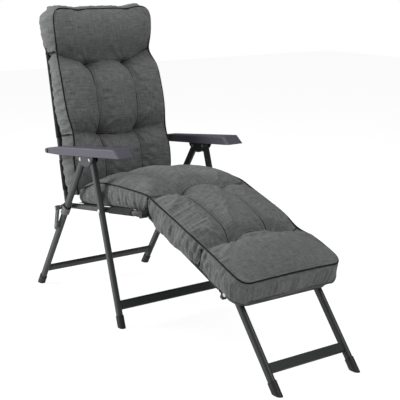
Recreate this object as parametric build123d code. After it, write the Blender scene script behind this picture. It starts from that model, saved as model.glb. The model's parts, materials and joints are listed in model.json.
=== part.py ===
from build123d import *
from math import atan2, cos, degrees, radians, sin, tan
import os

# A folding sun lounger: steel tube frame, sliding back adjustment, hinged leg rest, quilted pad.
# Lengths are in millimetres and angles in degrees. Z points up and the front faces -Y.
# The origin is on the floor, in the middle of the ground that the lounger covers.
# A reach is measured forward from the line where the rear legs' axes meet the floor.
# Left and right are the sitter's own, so left is on +X.

# Side layout of the legs, seat, back and armrest pivots
rear_rivet_reach = 402.4
rear_rivet_height = 597.0
rivet_spread = 71.5
rivet_step = 8.0
front_foot_reach = 663.9
collar_height = 381.1
seat_tilt = 8.0
seat_length = 528.6
back_hinge_set = 74.76
arm_bolt_lift = 26.5
back_lean = 11.43
back_length = 735.0

# Side layout of the leg rest and its own legs
rest_slope = 20.1
rest_drop = 15.0
rest_length = 542.0
rest_pivot_set = 60.0
rest_foot_reach = 1453.9

# Tubes
leg_depth = 30.0
leg_thick = 20.0
bar_height = 35.0
bar_thick = 15.0
tube_radius = 11.0
tube_wall = 1.5
leg_crown = 14.0
rest_leg_crown = 12.5
crown_taper = 10.0

# Clearances: running pins, nested pieces of one body, sliding and side play, soft pads
pin_gap = 0.05
nest_gap = 0.1
slide_gap = 0.3
side_gap = 0.5
pad_gap = 0.4
overrun = 40.0

# Feet
cap_wall = 2.5
cap_sole = 6.0
cap_length = 45.0

# Bars that tie each pair of legs, at these heights above the floor
rear_bar_height = 75.0
front_bar_height = 78.0
rest_bar_height = 66.5

# Pivots and bolts
rivet_radius = 4.0
rivet_head_radius = 6.5
rivet_head = 2.5
bolt_radius = 4.0
bolt_head_radius = 7.5
bolt_head = 3.5
spacer_radius = 8.0

# Rear joint of seat and back
back_offset = 217.0
hinge_plate_thick = 4.0
hinge_plate_width = 17.0
hinge_plate_in_rail = 45.0
rail_overhang = 20.0
back_tube_tail = 18.0
rear_tube_set = 75.0

# Sliding collars with their clamp ears and levers
liner_wall = 1.4
liner_lip = 2.5
liner_lip_height = 3.0
collar_wall = 2.6
collar_length = 46.0
collar_front_length = 30.0
collar_stand_off = 3.1
collar_rise = 2.0
stud_radius = 6.0
ear_reach = 30.0
ear_drop = 31.0
ear_radius = 9.0
ear_thick = 12.0
ear_root = 30.0
lever_thick = 10.0
lever_length = 88.0
lever_lean = 12.8
lever_width = 19.0
lever_round = 3.0
lever_rib_start = 18.0
lever_rib_pitch = 18.0
lever_rib_depth = 1.2
lever_rib_width = 3.0
lever_rib_turn = 45.0
lever_end_radius = 4.0

# Armrests, measured along the arm from the rear bolt
arm_slope = 6.8
arm_overhang = 11.0
arm_top = 17.8
arm_bottom = 14.4
arm_boss_radius = 10.0
arm_tail = 98.0
arm_top_length = 525.0
arm_nose_rake = 35.0
arm_rear_width = 30.0
arm_front_width = 72.0
arm_skin = 3.0
arm_corner_round = 9.0
arm_edge_round = 6.0
arm_spacer_radius = 7.0
nose_share = 0.6

# Brackets between armrest and legs
cheek_thick = 3.0
web_rise = 17.5
bracket_length = 118.0
bracket_skirt = 14.0
bracket_sag = 31.0
bracket_screw_pitch = 26.0
screw_radius = 2.0
screw_head_radius = 4.2
screw_head = 2.2
screw_grip = 12.0
screw_boss_radius = 5.0

# Leg rest and its legs
rest_rail_inset = 36.5
rest_bend_radius = 44.0
rest_bend_lead = 5.0
rest_spacer_width = 7.0
rest_hinge_ring = 4.5
rest_hinge_width = 22.0
rest_hinge_socket = 34.0
rest_hinge_wall = 1.6
rest_stop_wall = 2.5
rest_stop_set = 8.0
rest_stop_drop = 24.0
rest_stop_length = 15.0
rest_stop_thick = 5.0

# Bend at the head of the back
back_bend_radius = 60.0
back_bend_lead = 22.0

# Corner blocks at the front of the seat
corner_wall = 1.6
corner_knob = 3.5
corner_length = 38.0

# Slings sewn around the tubes
sling_thick = 1.4
sling_hem_gap = 0.2
seat_sling_set = 28.6
seat_hem_clear = 8.0
seat_hem_front = 26.0
seat_sling_inset = 8.0
back_sling_foot = 60.0
back_sling_drop = 95.0
back_hem_break = 45.0
rest_sling_near = 62.0
rest_sling_clear = 42.0
# The flat stretch of a sling is a little thinner than its doubled hem
panel_share = 0.8

# Quilted pad. Its heights count from the tubes' axes and its widths from the middle. The seams
# and crowns of its rows lie at shares of the length of the tubes that carry them.
pad_side_gap = 19.0
pad_height = 125.0
seam_offset = 80.0
side_bulge = 7.0
headrest_over = 43.0
headrest_middle_share = 0.936
headrest_foot_share = 0.8054
back_pad_high_share = 0.5986
back_pad_row_share = 0.3741
back_pad_low_share = 0.2041
back_pad_foot = 34.0
seat_pad_front = 14.0
seat_pad_middle_share = 0.473
seat_pad_set = 50.6
leg_pad_near = 16.0
leg_pad_middle_share = 0.3137
leg_pad_row_share = 0.5996
leg_pad_far_share = 0.8118
leg_pad_over = 26.0
hood_depth = 27.0
hood_flap = 88.0
hood_inset = 6.0

# For each section of a row: the share of the pad's half width, then the shares of the pad's
# height at the side, on the crown and, where there are three columns, in the seam between them
headrest_shares = [(0.94, 0.46, 0.53), (0.965, 0.67, 0.9), (0.905, 0.64, 0.74)]
back_high_shares = [(0.94, 0.86, 0.945, 0.785), (1.0, 0.8, 0.99, 0.865), (0.94, 0.46, 0.53, 0.415)]
back_low_shares = [(0.957, 0.735, 0.785, 0.705), (1.0, 0.88, 1.02, 0.91), (0.94, 0.86, 0.945, 0.785)]
seat_shares = [(0.95, 0.55, 0.64, 0.55), (0.995, 0.785, 0.975, 0.865), (0.95, 0.625, 0.72, 0.625)]
leg_near_shares = [(0.895, 0.67, 0.72, 0.575), (0.94, 0.67, 0.91, 0.8), (0.93, 0.64, 0.73, 0.64)]
leg_far_shares = [(0.87, 0.625, 0.72), (0.935, 0.735, 1.01), (0.895, 0.67, 0.72)]

# The front legs' rivets lie a little in front of and above the rear legs'
front_rivet_reach = rear_rivet_reach + rivet_spread
front_rivet_height = rear_rivet_height + rivet_step

# Leans of the two pairs of legs, from upright
rear_lean = degrees(atan2(rear_rivet_reach, rear_rivet_height))
front_lean = degrees(atan2(front_foot_reach - front_rivet_reach, front_rivet_height))

# The seat rail's axis runs through the collar pivots, tilted up to the front
seat_rise = tan(radians(seat_tilt))
collar_reach = collar_height * rear_rivet_reach / rear_rivet_height
front_run = tan(radians(front_lean))
seat_pivot_height = collar_height + (front_foot_reach - collar_reach) * seat_rise
seat_pivot_height /= 1 + front_run * seat_rise
seat_pivot_reach = front_foot_reach - seat_pivot_height * front_run
back_hinge_reach = collar_reach - back_hinge_set * cos(radians(seat_tilt))
back_hinge_height = collar_height - back_hinge_set * sin(radians(seat_tilt))

# The armrest's rear bolt lies on the back's line, a little above the arm's line through the rivets
back_run = tan(radians(back_lean))
arm_rise = tan(radians(arm_slope))
back_foot_reach = back_hinge_reach + back_hinge_height * back_run
arm_bolt_height = rear_rivet_height + arm_bolt_lift - (rear_rivet_reach - back_foot_reach) * arm_rise
arm_bolt_height /= 1 + arm_rise * back_run
arm_bolt_reach = back_foot_reach - arm_bolt_height * back_run
arm_bottom_length = arm_top_length + arm_nose_rake
rest_hinge_reach = collar_reach + seat_length * cos(radians(seat_tilt))
rest_hinge_height = collar_height + seat_length * sin(radians(seat_tilt))

# The leg rest's rails run below the hinge, and its legs lean forward from their pivots
rest_cos = cos(radians(rest_slope))
rest_sin = sin(radians(rest_slope))
rest_axis_reach = rest_hinge_reach - rest_drop * rest_sin
rest_axis_height = rest_hinge_height - rest_drop * rest_cos
rest_pivot_along = rest_length - rest_pivot_set
rest_pivot_reach = rest_axis_reach + rest_pivot_along * rest_cos
rest_pivot_height = rest_axis_height - rest_pivot_along * rest_sin
rest_lean = degrees(atan2(rest_foot_reach - rest_pivot_reach, rest_pivot_height))

# The middle of the footprint, from the rear cap's back edge to the rest cap's front edge
cap_half = leg_depth / 2 + cap_wall
footprint_front = rest_foot_reach + cap_half / cos(radians(rest_lean))
footprint_rear = cap_half / cos(radians(rear_lean))
middle_reach = (footprint_front - footprint_rear) / 2

# Places across the width, each stacked on the one before it
plate_offset = back_offset + tube_radius + side_gap + hinge_plate_thick / 2
rail_offset = plate_offset
leg_spacing = slide_gap + liner_wall + nest_gap + collar_wall + collar_stand_off
leg_offset = rail_offset + tube_radius + leg_spacing + leg_thick / 2
leg_inner = leg_offset - leg_thick / 2
leg_outer = leg_offset + leg_thick / 2
arm_outer = leg_outer + arm_overhang
rest_rail_offset = rail_offset - rest_rail_inset
rest_leg_offset = rest_rail_offset - tube_radius - rest_spacer_width - leg_thick / 2
cheek_inner = leg_inner - side_gap - cheek_thick
cheek_outer = leg_outer + side_gap + cheek_thick


def spot(reach, height, across=0):
    """A point of the side layout, set across the lounger."""
    return Vector(across, middle_reach - reach, height)


def heading(angle):
    """The direction in the side view at an angle from straight up, turned to the rear."""
    return Vector(0, sin(radians(angle)), cos(radians(angle)))


def along(origin, direction):
    """A plane across a tube: local X across the lounger, local Z along the tube."""
    return Plane(origin=origin, x_dir=(1, 0, 0), z_dir=direction)


def side(origin):
    """A plane in the side view: local X to the rear, local Y up, local Z to the left."""
    return Plane(origin=origin, x_dir=(0, 1, 0), z_dir=(1, 0, 0))


def slab(plane, outline, amount):
    """An outline drawn on a plane and thickened along the plane's normal."""
    return extrude(plane * outline, amount=amount, dir=plane.z_dir)


def cross_rod(centre, start, end, radius):
    """A round rod across the lounger at a place of the side view, from start to end."""
    low, high = min(start, end), max(start, end)
    return extrude(side(Vector(low, centre.Y, centre.Z)) * Circle(radius), amount=high - low)


def cross_ring(centre, start, end, radius, bore):
    """A round sleeve across the lounger at a place of the side view."""
    return cross_rod(centre, start, end, radius) - cross_rod(centre, start, end, bore)


def above_floor(solid, height=0):
    """What is left of a solid above a level plane."""
    return split(solid, bisect_by=Plane((0, 0, height)), keep=Keep.TOP)


def mirrored(solid):
    """The same piece for the sitter's right side."""
    return mirror(solid, about=Plane.YZ)


def write(name, solid):
    """Store a named piece as one STEP file."""
    export_step(solid, f"parts/{name}.step")


def write_pair(name, solid):
    """Store a piece of the left side and its mirror image."""
    write(f"{name}_left", solid)
    write(f"{name}_right", mirrored(solid))


def both(solid):
    """A piece and its mirror image as one group of separate solids."""
    return Compound(children=solid.solids() + mirrored(solid).solids())


rear_foot = spot(0, 0)
rear_rivet = spot(rear_rivet_reach, rear_rivet_height)
front_foot = spot(front_foot_reach, 0)
front_rivet = spot(front_rivet_reach, front_rivet_height)
collar_pivot = spot(collar_reach, collar_height)
seat_pivot = spot(seat_pivot_reach, seat_pivot_height)
back_hinge = spot(back_hinge_reach, back_hinge_height)
rest_hinge = spot(rest_hinge_reach, rest_hinge_height)
rest_axis = spot(rest_axis_reach, rest_axis_height)
rest_pivot = spot(rest_pivot_reach, rest_pivot_height)
rest_foot = spot(rest_foot_reach, 0)
arm_bolt = spot(arm_bolt_reach, arm_bolt_height)

rear_up = heading(-rear_lean)
front_up = heading(front_lean)
rest_up = heading(rest_lean)
back_up = heading(back_lean)
seat_forward = heading(seat_tilt - 90)
rest_forward = heading(-rest_slope - 90)
seat_normal = heading(seat_tilt)
rest_normal = heading(-rest_slope)
back_normal = heading(back_lean - 90)
arm_normal = heading(arm_slope)
arm_forward = heading(arm_slope - 90)


def leg(foot, top, up, offset, crown, holes):
    """A flat-oval tube from the foot cap to a rounded end about its top pivot, with its bores."""
    base = along(Vector(offset, foot.Y, foot.Z), up)
    section = SlotOverall(leg_depth, leg_thick, rotation=90)
    bore = SlotOverall(leg_depth - 2 * tube_wall, leg_thick - 2 * tube_wall, rotation=90)
    reach_up = (top - foot).length
    tube = extrude(base * (section - bore), amount=reach_up + crown + overrun)
    tube = above_floor(tube, cap_sole)
    place = Plane(origin=(offset - leg_thick, top.Y, top.Z), x_dir=(1, 0, 0), z_dir=up)
    view = Plane(origin=place.origin, x_dir=place.y_dir, z_dir=(1, 0, 0))
    half = leg_depth / 2
    shoulder = Polygon(
        (-crown, 0), (-half - nest_gap, -crown_taper), (-half - nest_gap, -reach_up - overrun),
        (half + nest_gap, -reach_up - overrun), (half + nest_gap, -crown_taper), (crown, 0),
        align=None,
    )
    outline = shoulder + Circle(crown)
    tube = tube & slab(view, outline, 2 * leg_thick)
    for centre, radius in holes:
        tube -= cross_rod(centre, offset - leg_thick, offset + leg_thick, radius + pin_gap)
    return tube


def foot_cap(foot, up, offset):
    """A moulded cap over the leg's end, cut level with the floor."""
    base = along(Vector(offset, foot.Y, foot.Z) - up * overrun, up)
    outer_depth = leg_depth + 2 * cap_wall
    outer_thick = leg_thick + 2 * cap_wall
    cap = extrude(base * SlotOverall(outer_depth, outer_thick, rotation=90), amount=overrun + cap_length)
    socket = SlotOverall(leg_depth + 2 * nest_gap, leg_thick + 2 * nest_gap, rotation=90)
    pocket = above_floor(extrude(base * socket, amount=2 * overrun + cap_length), cap_sole)
    return above_floor(cap) - pocket


def leg_bar(foot, up, lean, height, half_span):
    """A flat-oval bar between two legs, wide along the legs, butted on their inner faces."""
    centre = foot + up * (height / cos(radians(lean)))
    place = Plane(origin=(-half_span, centre.Y, centre.Z), x_dir=up, z_dir=(1, 0, 0))
    section = SlotOverall(bar_height, bar_thick)
    bore = SlotOverall(bar_height - 2 * tube_wall, bar_thick - 2 * tube_wall)
    return extrude(place * (section - bore), amount=2 * half_span)


def round_tube(start, direction, length):
    """A straight round tube."""
    ring = Circle(tube_radius) - Circle(tube_radius - tube_wall)
    return extrude(along(start, direction) * ring, amount=length)


def bent_tube(plane, half_width, reach, lead, radius):
    """A round tube that runs up, across and down again with a bend at each corner."""
    low = reach - radius - lead
    corners = [(-half_width, low), (-half_width, reach), (half_width, reach), (half_width, low)]
    path = plane * FilletPolyline(*corners, radius=radius)
    ring = Circle(tube_radius) - Circle(tube_radius - tube_wall)
    return sweep(Plane(origin=path @ 0, z_dir=path % 0) * ring, path=path)


# Rear legs, which stand still while the rest of the frame folds about them
rear_holes = [(rear_rivet, rivet_radius)]
write_pair("rear_leg", leg(rear_foot, rear_rivet, rear_up, leg_offset, leg_crown, rear_holes))
write_pair("rear_foot", foot_cap(rear_foot, rear_up, leg_offset))
write("rear_crossbar", leg_bar(rear_foot, rear_up, rear_lean, rear_bar_height, leg_inner))

# Front legs, with the bores for the rivets and for the seat's pivot bolts
front_holes = [(front_rivet, rivet_radius), (seat_pivot, bolt_radius)]
write_pair("front_leg", leg(front_foot, front_rivet, front_up, leg_offset, leg_crown, front_holes))
write_pair("front_foot", foot_cap(front_foot, front_up, leg_offset))
write("front_crossbar", leg_bar(front_foot, front_up, front_lean, front_bar_height, leg_inner))


def arm_place(forward, rise, across=0):
    """A point measured along the armrest from its rear bolt."""
    point = arm_bolt + arm_forward * forward + arm_normal * rise
    return Vector(across, point.Y, point.Z)


def arm_section(forward, top, bottom, inset):
    """The armrest cut across: flat below, with rounded upper edges."""
    outer = arm_outer - inset
    inner = arm_outer - arm_rear_width + inset
    inner -= max(forward - arm_tail, 0) * (arm_front_width - arm_rear_width) / (arm_top_length - arm_tail)
    high = top - arm_edge_round
    edges = [Line((inner, -bottom), (outer, -bottom)), Line((outer, -bottom), (outer, high))]
    edges.append(CenterArc((outer - arm_edge_round, high), arm_edge_round, 0, 90))
    edges.append(Line((outer - arm_edge_round, top), (inner + arm_edge_round, top)))
    edges.append(CenterArc((inner + arm_edge_round, high), arm_edge_round, 90, 90))
    edges.append(Line((inner, high), (inner, -bottom)))
    return Plane(origin=(0, -forward, 0), x_dir=(1, 0, 0), z_dir=(0, -1, 0)) * make_face(edges)


def raked(inset):
    """Everything behind the armrest's raked front, with the front's corners rounded."""
    rake = Vector(0, arm_bottom_length - arm_top_length, arm_top + arm_bottom).normalized()
    end = arm_bottom_length - inset
    inner = arm_outer - arm_front_width + inset
    plan = Polygon(
        (inner, overrun), (arm_outer - inset, overrun), (arm_outer - inset, -end), (inner, -end), align=None
    )
    plan = fillet(plan.vertices().sort_by(Axis.Y)[:2], arm_corner_round)
    floor = Plane((0, 0, -arm_bottom))
    low = extrude(floor * plan, amount=overrun / rake.Z, dir=-rake)
    return low + extrude(floor * plan, amount=(arm_bottom + arm_top + overrun) / rake.Z, dir=rake)


def armrest():
    """A moulded armrest, open below, with a solid tail and a boss for the rear bolt."""
    far = arm_bottom_length + overrun
    tail_start = arm_section(-arm_boss_radius - side_gap, arm_boss_radius, arm_boss_radius, 0)
    tail_end = arm_section(arm_tail, arm_top, arm_bottom, 0)
    body = loft([tail_start, tail_end], ruled=True)
    body += loft([tail_end, arm_section(far, arm_top, arm_bottom, 0)], ruled=True)
    keep = Pos(-far / 2, 0, 0) * Rectangle(far, 2 * overrun) + Circle(arm_boss_radius)
    body = body & slab(side(Vector(0, 0, 0)), keep, arm_outer + overrun)
    body = body & raked(0)
    nose = [edge for edge in body.edges() if edge.center().Z > arm_top - nest_gap
            and edge.center().Y < -arm_top_length + arm_edge_round]
    body = fillet(nose, arm_edge_round * nose_share)
    hollow = loft(
        [arm_section(arm_tail, arm_top - arm_skin, arm_bottom + arm_skin, arm_skin),
         arm_section(far, arm_top - arm_skin, arm_bottom + arm_skin, arm_skin)],
        ruled=True,
    )
    body = body - (hollow & raked(arm_skin))
    pillar_height = arm_top - arm_skin / 2 - web_top
    for step in (-bracket_screw_pitch / 2, bracket_screw_pitch / 2):
        floor = Plane((leg_offset, step - bracket_middle, web_top))
        body += slab(floor, Circle(screw_boss_radius), pillar_height)
        body -= slab(floor, Circle(screw_radius + nest_gap / 2), screw_grip)
    place = Plane(origin=(0, arm_bolt.Y, arm_bolt.Z), x_dir=(1, 0, 0), z_dir=arm_normal)
    body = place.location * body
    return body - cross_rod(arm_bolt, 0, arm_outer + overrun, bolt_radius + nest_gap / 2)


def arm_bracket():
    """A folded steel bracket: two cheeks about the legs' tops and a web under the armrest."""
    half = bracket_length / 2
    low = web_top - cheek_thick - bracket_skirt
    outline = Polygon((-half, web_top), (-half, low), (half, low), (half, web_top), align=None)
    belly = ThreePointArc((-half, low), (0, low - bracket_sag), (half, low))
    outline += make_face([belly, Line((half, low), (-half, low))])
    place = Plane(origin=arm_place(bracket_middle, 0, cheek_inner), x_dir=-arm_forward, z_dir=(1, 0, 0))
    width = cheek_outer - cheek_inner
    body = slab(place, outline, width)
    room = Polygon(
        (-half - overrun, web_top - cheek_thick), (-half - overrun, -2 * overrun - bracket_sag),
        (half + overrun, -2 * overrun - bracket_sag), (half + overrun, web_top - cheek_thick),
        align=None,
    )
    inside = Plane(origin=place.origin + Vector(cheek_thick, 0, 0), x_dir=-arm_forward, z_dir=(1, 0, 0))
    body -= slab(inside, room, width - 2 * cheek_thick)
    bore = rivet_radius + nest_gap / 2
    for rivet in (rear_rivet, front_rivet):
        body -= cross_rod(rivet, cheek_inner - cheek_thick, cheek_outer + cheek_thick, bore)
    for step in (-bracket_screw_pitch / 2, bracket_screw_pitch / 2):
        foot = arm_place(bracket_middle + step, web_top - 2 * cheek_thick, leg_offset)
        floor = Plane(foot, z_dir=arm_normal)
        body -= extrude(floor * Circle(screw_radius + nest_gap), amount=3 * cheek_thick)
    return body


def bracket_screws():
    """Two screws up through each web into the armrest's bosses."""
    screws = []
    for step in (-bracket_screw_pitch / 2, bracket_screw_pitch / 2):
        seat = arm_place(bracket_middle + step, web_top - cheek_thick, leg_offset)
        upward = Plane(seat, z_dir=arm_normal)
        downward = Plane(seat, z_dir=-arm_normal)
        shank = extrude(upward * Circle(screw_radius), amount=cheek_thick + screw_grip)
        head = extrude(downward * Circle(screw_head_radius), amount=screw_head)
        screws.append(shank + fillet(head.edges().group_by(Axis.Z)[0], screw_head / 2))
    return Compound(children=[solid for screw in screws for solid in screw.solids()])


def headed_pin(centre, start, end, radius, head_radius, head):
    """A pin from start to end with a rounded head beyond its end."""
    pin = cross_rod(centre, start, end, radius)
    cap = cross_rod(centre, end, end + head, head_radius)
    rim = cap.edges().filter_by(GeomType.CIRCLE).sort_by(Axis.X)[-1]
    return pin + fillet(rim, head / 2)


def leg_rivet(centre):
    """A rivet through both cheeks and the leg between them, headed on both sides."""
    rivet = headed_pin(centre, cheek_inner, cheek_outer, rivet_radius, rivet_head_radius, rivet_head)
    return rivet + cross_rod(centre, cheek_inner - rivet_head, cheek_inner, rivet_head_radius)


# Where the bracket sits along the armrest, and the height of its web about the rivets
rear_rivet_forward = (rear_rivet - arm_bolt).dot(arm_forward)
front_rivet_forward = (front_rivet - arm_bolt).dot(arm_forward)
bracket_middle = (rear_rivet_forward + front_rivet_forward) / 2
web_top = (rear_rivet - arm_bolt).dot(arm_normal) + web_rise + cheek_thick

# Armrests with their brackets, rivets and rear bolts
write_pair("armrest", armrest())
write_pair("arm_bracket", arm_bracket())
write("bracket_screws", both(bracket_screws()))
rivets = leg_rivet(rear_rivet).solids() + leg_rivet(front_rivet).solids()
write("leg_rivets", both(Compound(children=rivets)))
bolt_inner = back_offset + tube_radius + slide_gap
arm_inner = arm_outer - arm_rear_width
arm_pin = headed_pin(arm_bolt, bolt_inner + side_gap, arm_outer, bolt_radius, bolt_head_radius, bolt_head)
write("armrest_bolts", both(arm_pin))
arm_sleeve = cross_ring(arm_bolt, bolt_inner, arm_inner, arm_spacer_radius, bolt_radius + nest_gap / 2)
write("armrest_spacers", both(arm_sleeve))


def collar_sleeve(depth_gap, wall, start, length):
    """A flat-oval sleeve about the rear leg, a gap away from it, of a wall and a length."""
    base = along(Vector(leg_offset, collar_pivot.Y, collar_pivot.Z) + rear_up * start, rear_up)
    outer = SlotOverall(leg_depth + 2 * (depth_gap + wall), leg_thick + 2 * (depth_gap + wall), rotation=90)
    inner = SlotOverall(leg_depth + 2 * depth_gap, leg_thick + 2 * depth_gap, rotation=90)
    return extrude(base * (outer - inner), amount=length)


collar_foot = collar_rise - collar_length
collar_spread = slide_gap + liner_wall + nest_gap + collar_wall
collar_outer = leg_outer + collar_spread
ear_back = Vector(0, cos(radians(rear_lean)), sin(radians(rear_lean)))
lever_pivot = collar_pivot + ear_back * ear_reach - rear_up * ear_drop
lever_down = -heading(-lever_lean)
lever_face = collar_outer + side_gap


def above_collar_foot(solid):
    """What is left of a sleeve above the collar's lower edge, which is shorter in front."""
    reach = leg_depth / 2 + collar_spread
    front = collar_pivot - ear_back * reach + rear_up * (collar_rise - collar_front_length)
    rear = collar_pivot + ear_back * reach + rear_up * collar_foot
    edge = Plane(origin=front, x_dir=(1, 0, 0), z_dir=Vector(1, 0, 0).cross(rear - front))
    return split(solid, bisect_by=edge, keep=Keep.TOP)


def collar_liner():
    """A nylon liner that slides on the leg, with a lip on top of the collar."""
    liner = above_collar_foot(collar_sleeve(slide_gap, liner_wall, collar_foot, collar_length))
    lip = collar_sleeve(slide_gap, liner_wall + liner_lip, collar_rise, liner_lip_height)
    return liner + lip


def collar_shell():
    """The clamp collar, with an ear to the rear that carries the lever."""
    gap = slide_gap + liner_wall + nest_gap
    shell = above_collar_foot(collar_sleeve(gap, collar_wall, collar_foot, collar_length))
    start = collar_outer - ear_thick
    view = Plane(origin=(start, collar_pivot.Y, collar_pivot.Z), x_dir=ear_back, z_dir=(1, 0, 0))
    root = leg_depth / 2 + gap + collar_wall / 2
    top = collar_rise - collar_wall
    plate = Polygon(
        (root, top), (ear_reach, ear_radius - ear_drop), (ear_reach, -ear_radius - ear_drop),
        (root, top - ear_root), align=None,
    )
    plate += Pos(ear_reach, -ear_drop, 0) * Circle(ear_radius)
    ear = slab(view, plate, ear_thick)
    ear -= cross_rod(lever_pivot, start - ear_thick, start + 2 * ear_thick, bolt_radius + nest_gap / 2)
    return shell + ear


def lever():
    """A ribbed grip that hangs outside the collar, with a round stud at its end."""
    frame = Plane(origin=(lever_face, lever_pivot.Y, lever_pivot.Z), x_dir=lever_down, z_dir=(1, 0, 0))
    outline = Pos(lever_length / 2, 0, 0) * SlotCenterToCenter(lever_length, lever_width)
    grip = slab(frame, outline, lever_thick)
    grip = fillet(grip.edges().filter_by(Axis.X, reverse=True), lever_round)
    floor = frame.offset(lever_thick - lever_rib_depth)
    ribs = int((lever_length - lever_rib_start) / lever_rib_pitch)
    for count in range(ribs):
        place = Pos(lever_rib_start + count * lever_rib_pitch, 0, 0) * Rot(0, 0, lever_rib_turn)
        grip -= slab(floor, place * Rectangle(lever_rib_width, 3 * lever_width), lever_thick)
    bore = bolt_radius + pin_gap
    grip -= cross_rod(lever_pivot, lever_face - lever_thick, lever_face + 2 * lever_thick, bore)
    end = lever_pivot + lever_down * lever_length
    return grip + cross_rod(
        end, lever_face + lever_thick / 2, lever_face + lever_thick + lever_rib_depth, lever_end_radius
    )


# Collars that slide on the rear legs, and the levers that clamp them
write_pair("collar", collar_shell())
write("collar_liners", both(collar_liner()))
ear_inner = collar_outer - ear_thick
lever_bolt_end = lever_face + lever_thick + side_gap
clamp_bolt = headed_pin(lever_pivot, ear_inner, lever_bolt_end, bolt_radius, bolt_head_radius, bolt_head)
clamp_bolt += cross_rod(lever_pivot, ear_inner - bolt_head, ear_inner, bolt_head_radius)
write("collar_bolts", both(clamp_bolt))
write_pair("lever", lever())

# Seat rails, from behind the collars to the leg rest's hinge, slotted at the rear
rail_start = Vector(rail_offset, collar_pivot.Y, collar_pivot.Z) - seat_forward * rail_overhang
rail_length = rail_overhang + seat_length - tube_radius - corner_knob


def cross_hole(centre, radius):
    """A hole across one seat rail."""
    return cross_rod(centre, rail_offset - 2 * tube_radius, rail_offset + 2 * tube_radius, radius)


def seat_rail():
    """A side tube of the seat, drilled for its bolts and slotted for the hinge plate."""
    tube = round_tube(rail_start, seat_forward, rail_length)
    tube -= cross_hole(seat_pivot, bolt_radius + nest_gap / 2)
    tube -= cross_hole(collar_pivot, bolt_radius + nest_gap / 2)
    tube -= hinge_plate_blank(hinge_plate_thick + nest_gap, nest_gap)
    return tube


def hinge_plate_blank(thick, grow):
    """The hinge plate's outline: slotted into the rail, round about the back's pivot."""
    low = side(Vector(plate_offset - thick / 2, back_hinge.Y, back_hinge.Z))
    tilt = Rot(0, 0, -seat_tilt)
    run = (back_hinge - collar_pivot).length - rail_overhang + hinge_plate_in_rail
    width = hinge_plate_width + 2 * grow
    strip = Pos(-run / 2 - grow / 2, 0) * Rectangle(run + grow, width)
    return slab(low, tilt * (strip + Circle(width / 2)), thick)


def hinge_plate():
    """A flat plate that carries the back's pivot behind the seat rail."""
    plate = hinge_plate_blank(hinge_plate_thick, 0)
    plate -= cross_hole(back_hinge, bolt_radius + nest_gap / 2)
    return plate - cross_hole(collar_pivot, bolt_radius + nest_gap / 2)


def corner_block():
    """A moulded elbow that joins a seat rail to the front tube at the leg rest's hinge."""
    outer = tube_radius + corner_knob
    knob = cross_rod(rest_hinge, rail_offset - outer, rail_offset + outer, outer)
    knob = fillet(knob.edges().filter_by(GeomType.CIRCLE), corner_knob / 2)
    centre = Vector(rail_offset, rest_hinge.Y, rest_hinge.Z)
    sleeve = extrude(along(centre, -seat_forward) * Circle(tube_radius + corner_wall), amount=corner_length)
    rail_end = rail_start + seat_forward * rail_length
    bore = extrude(along(rail_end, -seat_forward) * Circle(tube_radius + nest_gap), amount=2 * corner_length)
    socket = cross_rod(rest_hinge, rail_offset - 2 * outer, rail_offset, tube_radius + nest_gap)
    return knob + sleeve - bore - socket


def seat_cross_tube(centre, half_span):
    """A round tube across the seat, between its side pieces."""
    return cross_ring(centre, -half_span, half_span, tube_radius, tube_radius - tube_wall)


# Seat frame
write_pair("seat_rail", seat_rail())
write_pair("back_hinge_plate", hinge_plate())
write_pair("seat_corner", corner_block())
write("seat_front_tube", seat_cross_tube(rest_hinge, rail_offset))
rear_tube_place = collar_pivot + seat_forward * rear_tube_set
rear_tube = seat_cross_tube(rear_tube_place, rail_offset)
rail_solid = extrude(along(rail_start, seat_forward) * Circle(tube_radius + nest_gap / 2), amount=rail_length)
write("seat_rear_tube", rear_tube - rail_solid - mirrored(rail_solid))

# Pins of the seat: pivots in the front legs, studs that face the collars, pivots of the back
rail_inner = rail_offset - tube_radius
rail_outer = rail_offset + tube_radius
seat_bolt = headed_pin(seat_pivot, rail_inner, leg_outer + side_gap, bolt_radius, bolt_head_radius, bolt_head)
seat_bolt += cross_rod(seat_pivot, rail_inner - bolt_head, rail_inner, bolt_head_radius)
write("seat_pivot_bolts", both(seat_bolt))
seat_spacer_end = leg_inner - side_gap
seat_spacer = cross_ring(seat_pivot, rail_outer, seat_spacer_end, spacer_radius, bolt_radius + nest_gap / 2)
write("seat_spacers", both(seat_spacer))
collar_face = leg_inner - slide_gap - liner_wall - nest_gap - collar_wall
stud = cross_rod(collar_pivot, rail_inner, rail_outer, bolt_radius)
stud += cross_rod(collar_pivot, rail_outer, collar_face - slide_gap, stud_radius)
stud += cross_rod(collar_pivot, rail_inner - bolt_head, rail_inner, bolt_head_radius)
write("collar_studs", both(stud))
back_tube_inner = back_offset - tube_radius
plate_outer = plate_offset + hinge_plate_thick / 2
hinge_pin_start = back_tube_inner - side_gap
hinge_pin = headed_pin(back_hinge, hinge_pin_start, plate_outer, bolt_radius, bolt_head_radius, bolt_head)
hinge_pin += cross_rod(back_hinge, hinge_pin_start - bolt_head, hinge_pin_start, bolt_head_radius)
write("back_hinge_pins", both(hinge_pin))


def hem(start, direction, length):
    """A fabric sleeve sewn about a round tube."""
    inner = tube_radius + sling_hem_gap
    return extrude(along(start, direction) * (Circle(inner + sling_thick) - Circle(inner)), amount=length)


def panel(start, direction, normal, half_width, length):
    """A flat stretch of sling over the tubes, a little inside the hem's own thickness."""
    lift = tube_radius + sling_hem_gap + sling_thick / 2
    place = Plane(origin=start + normal * lift, x_dir=(1, 0, 0), z_dir=normal)
    sheet = Rectangle(2 * half_width, length, align=(Align.CENTER, Align.MIN))
    turned = place if place.y_dir.dot(direction) > 0 else place * Rot(0, 0, 180)
    thick = sling_thick * panel_share
    return extrude(turned * sheet, amount=thick / 2, both=True)


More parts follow.
